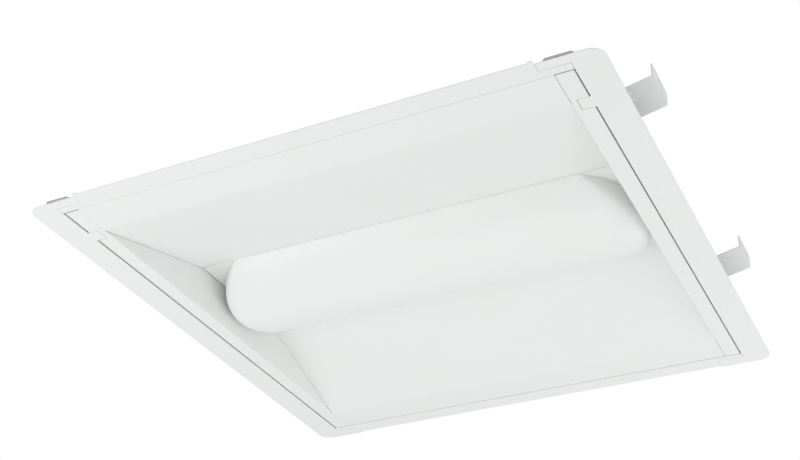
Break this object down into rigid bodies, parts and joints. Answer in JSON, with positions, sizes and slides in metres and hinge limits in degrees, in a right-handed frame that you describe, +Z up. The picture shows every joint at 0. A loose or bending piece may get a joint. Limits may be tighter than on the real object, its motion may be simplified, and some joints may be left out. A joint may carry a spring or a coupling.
{
  "type": "recessed troffer light",
  "caption": "Square recessed ceiling light with a white lapping flange, a hinged drop-down door of sloping reflectors, a long convex opal lens and sliding slotted brackets.",
  "frame": {"origin": "centre of the ceiling opening, in the plane of the ceiling's face, where the back of the flange rests", "axes": "+X along the lens, towards the end with the supply inlet; +Y across the lens, from the door's hinge to its catches; +Z up into the ceiling"},
  "size_m": [0.664, 0.6566, 0.1182],
  "materials": {
    "white_paint": "satin white powder coat",
    "galvanised_sheet": "zinc coated sheet",
    "opal_acrylic": "opal, frosted",
    "retainer_aluminium": "plain",
    "board_aluminium": "white solder mask on an aluminium core",
    "led_phosphor": "yellow phosphor",
    "driver_case": "white",
    "connector_plastic": "off white",
    "terminal_plastic": "pale grey",
    "earth_brass": "plain",
    "grommet_rubber": "black",
    "spring_steel": "plain",
    "zinc_steel": "zinc plated"
  },
  "bodies": {
    "housing": {"board_connectors": "connector_plastic", "board_screws": "zinc_steel", "bracket_seat_front_left": "galvanised_sheet", "bracket_seat_front_right": "galvanised_sheet", "bracket_seat_rear_left": "galvanised_sheet", "bracket_seat_rear_right": "galvanised_sheet", "catch_clip_left": "spring_steel", "catch_clip_right": "spring_steel", "clamp_screws": "zinc_steel", "corner_splice_front_left": "galvanised_sheet", "corner_splice_front_right": "galvanised_sheet", "corner_splice_rear_left": "galvanised_sheet", "corner_splice_rear_right": "galvanised_sheet", "cover_screws": "zinc_steel", "driver_cover": "galvanised_sheet", "driver_screws": "zinc_steel", "earth_screw": "earth_brass", "edge_trim_front": "white_paint", "edge_trim_rear": "white_paint", "engine_housing": "galvanised_sheet", "hinge_pin_left": "zinc_steel", "hinge_pin_right": "zinc_steel", "housing_end_left": "galvanised_sheet", "housing_end_right": "galvanised_sheet", "housing_pan": "galvanised_sheet", "inlet_bushing": "grommet_rubber", "lead_grommet": "grommet_rubber", "led_board_front": "board_aluminium", "led_board_rear": "board_aluminium", "led_driver": "driver_case", "leds_front": "led_phosphor", "leds_rear": "led_phosphor", "seat_screws": "zinc_steel", "side_trim_left": "white_paint", "side_trim_right": "white_paint", "splice_screws": "zinc_steel", "terminal_block": "terminal_plastic", "trim_screws": "zinc_steel"},
    "door": {"catch_stud_left": "spring_steel", "catch_stud_right": "spring_steel", "door_corner_plates": "galvanised_sheet", "door_end_left": "white_paint", "door_end_right": "white_paint", "lens": "opal_acrylic", "lens_retainer_front": "retainer_aluminium", "lens_retainer_rear": "retainer_aluminium", "reflector_front": "white_paint", "reflector_rear": "white_paint"},
    "bracket_front_left": {"bracket_front_left": "white_paint"},
    "bracket_front_right": {"bracket_front_right": "white_paint"},
    "bracket_rear_left": {"bracket_rear_left": "white_paint"},
    "bracket_rear_right": {"bracket_rear_right": "white_paint"}
  },
  "joints": [
    {"name": "door_hinge", "type": "hinge", "parent": "housing", "child": "door", "pos_m": [0, -0.296, 0.004], "axis": [-1, 0, 0], "range_deg": [0, 90]},
    {"name": "bracket_front_left_slide", "type": "slide", "parent": "housing", "child": "bracket_front_left", "axis": [-1, 0, 0], "range_m": [-0.03, 0]},
    {"name": "bracket_front_right_slide", "type": "slide", "parent": "housing", "child": "bracket_front_right", "axis": [1, 0, 0], "range_m": [-0.03, 0]},
    {"name": "bracket_rear_left_slide", "type": "slide", "parent": "housing", "child": "bracket_rear_left", "axis": [-1, 0, 0], "range_m": [-0.03, 0]},
    {"name": "bracket_rear_right_slide", "type": "slide", "parent": "housing", "child": "bracket_rear_right", "axis": [1, 0, 0], "range_m": [-0.03, 0]}
  ]
}
